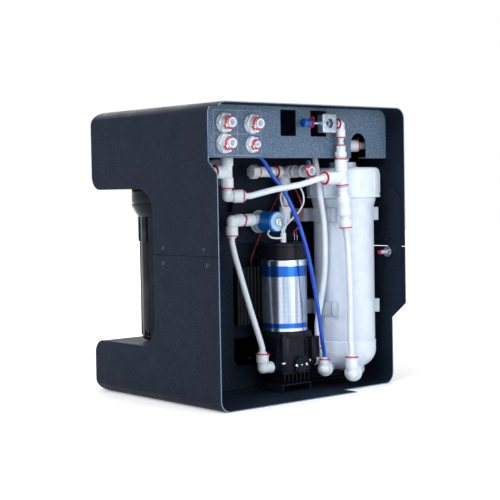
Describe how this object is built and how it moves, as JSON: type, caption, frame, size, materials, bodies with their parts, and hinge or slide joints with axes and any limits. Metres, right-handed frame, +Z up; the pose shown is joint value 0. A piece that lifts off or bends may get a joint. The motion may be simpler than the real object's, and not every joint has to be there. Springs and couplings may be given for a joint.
{
  "type": "reverse osmosis unit",
  "caption": "Folded steel water purification unit with an open rear plumbing bay, booster pump, membrane housing, push-fit tubing and twist-lock cartridges in a front recess.",
  "frame": {"origin": "middle of the case's underside", "axes": "+Z up, +Y out of the open service bay at the rear, -Y out of the cartridge recess at the front, +X toward the wall with the upper cut-away"},
  "size_m": [0.39, 0.324, 0.45],
  "materials": {
    "coated_steel": "fine-textured dark slate powder coat, matt",
    "zinc_steel": "zinc-plated steel, satin",
    "white_plastic": "moulded white acetal and polypropylene, semi-gloss",
    "grey_plastic": "moulded light grey plastic, satin",
    "blue_plastic": "moulded blue plastic, semi-gloss",
    "light_blue_plastic": "moulded light blue plastic, satin",
    "black_plastic": "moulded black plastic, satin",
    "gloss_black": "moulded black plastic, high gloss",
    "white_tube": "extruded white polyethylene tube",
    "blue_tube": "extruded blue polyethylene tube",
    "brushed_can": "rolled bright steel sleeve, fine brushed",
    "membrane": "wound film under a plastic tape, hidden",
    "wire": "flexible insulated lead"
  },
  "bodies": {
    "unit": {"upper_cover": "coated_steel", "lower_tray": "coated_steel", "front_fascia": "coated_steel", "connection_panel": "coated_steel", "partition": "coated_steel", "strap_left": "coated_steel", "strap_right": "coated_steel", "pump_bracket": "coated_steel", "bulkhead_large_1": "white_plastic", "bulkhead_large_2": "white_plastic", "bulkhead_large_3": "white_plastic", "bulkhead_small": "white_plastic", "stack_elbow": "white_plastic", "stack_connector": "white_plastic", "stack_tee": "white_plastic", "check_valve": "white_plastic", "left_tee": "white_plastic", "elbow_a": "white_plastic", "ball_valve_body": "white_plastic", "valve_tee": "white_plastic", "side_barrel": "white_plastic", "elbow_solenoid_out": "white_plastic", "elbow_solenoid_in": "white_plastic", "elbow_pump_left": "white_plastic", "elbow_pump_right": "white_plastic", "membrane_housing": "white_plastic", "membrane_cap": "white_plastic", "elbow_permeate": "white_plastic", "elbow_brine": "white_plastic", "feed_tee": "white_plastic", "filter_manifold": "white_plastic", "solenoid_body": "grey_plastic", "housing_clip_lower": "grey_plastic", "housing_clip_upper": "grey_plastic", "feed_plug": "grey_plastic", "valve_block": "zinc_steel", "blue_union": "blue_plastic", "solenoid_coil": "blue_plastic", "pump_end_cap": "black_plastic", "pump_head": "black_plastic", "power_adapter": "black_plastic", "tube_brine": "white_tube", "tube_a": "white_tube", "tube_c": "white_tube", "tube_d": "white_tube", "tube_e": "white_tube", "tube_link_up": "white_tube", "tube_link_side": "white_tube", "tube_permeate": "blue_tube", "pump_motor_can": "brushed_can", "membrane_element": "membrane", "lead_loom": "wire", "lead_pump": "wire"},
    "cartridge_1": {"cartridge_1": "gloss_black"},
    "cartridge_2": {"cartridge_2": "gloss_black"},
    "cartridge_3": {"cartridge_3": "gloss_black"},
    "ball_lever": {"ball_valve_lever": "light_blue_plastic"},
    "needle_spindle": {"valve_spindle": "zinc_steel"},
    "rotor": {"pump_rotor": "zinc_steel"},
    "plunger": {"solenoid_plunger": "zinc_steel"}
  },
  "joints": [
    {"name": "cartridge_1_turn", "type": "hinge", "parent": "unit", "child": "cartridge_1", "pos_m": [-0.122, -0.057, 0.326], "axis": [0, 0, 1], "range_deg": [0, 90]},
    {"name": "cartridge_2_turn", "type": "hinge", "parent": "unit", "child": "cartridge_2", "pos_m": [0, -0.057, 0.326], "axis": [0, 0, 1], "range_deg": [0, 90]},
    {"name": "cartridge_3_turn", "type": "hinge", "parent": "unit", "child": "cartridge_3", "pos_m": [0.122, -0.057, 0.326], "axis": [0, 0, 1], "range_deg": [0, 90]},
    {"name": "ball_valve_turn", "type": "hinge", "parent": "unit", "child": "ball_lever", "pos_m": [-0.0365, 0.083, 0.35], "axis": [1, 0, 0], "range_deg": [0, 90]},
    {"name": "needle_turn", "type": "hinge", "parent": "unit", "child": "needle_spindle", "pos_m": [-0.0465, 0.1435, 0.4232], "axis": [0, 1, 0], "range_deg": [0, 810]},
    {"name": "rotor_spin", "type": "hinge", "parent": "unit", "child": "rotor", "pos_m": [-0.016, 0.064, 0.155], "axis": [0, 0, 1], "continuous": true},
    {"name": "plunger_slide", "type": "slide", "parent": "unit", "child": "plunger", "axis": [0, 1, 0], "range_m": [0, 0.003], "stiffness_N_per_m": 200, "springref_m": -0.01}
  ]
}
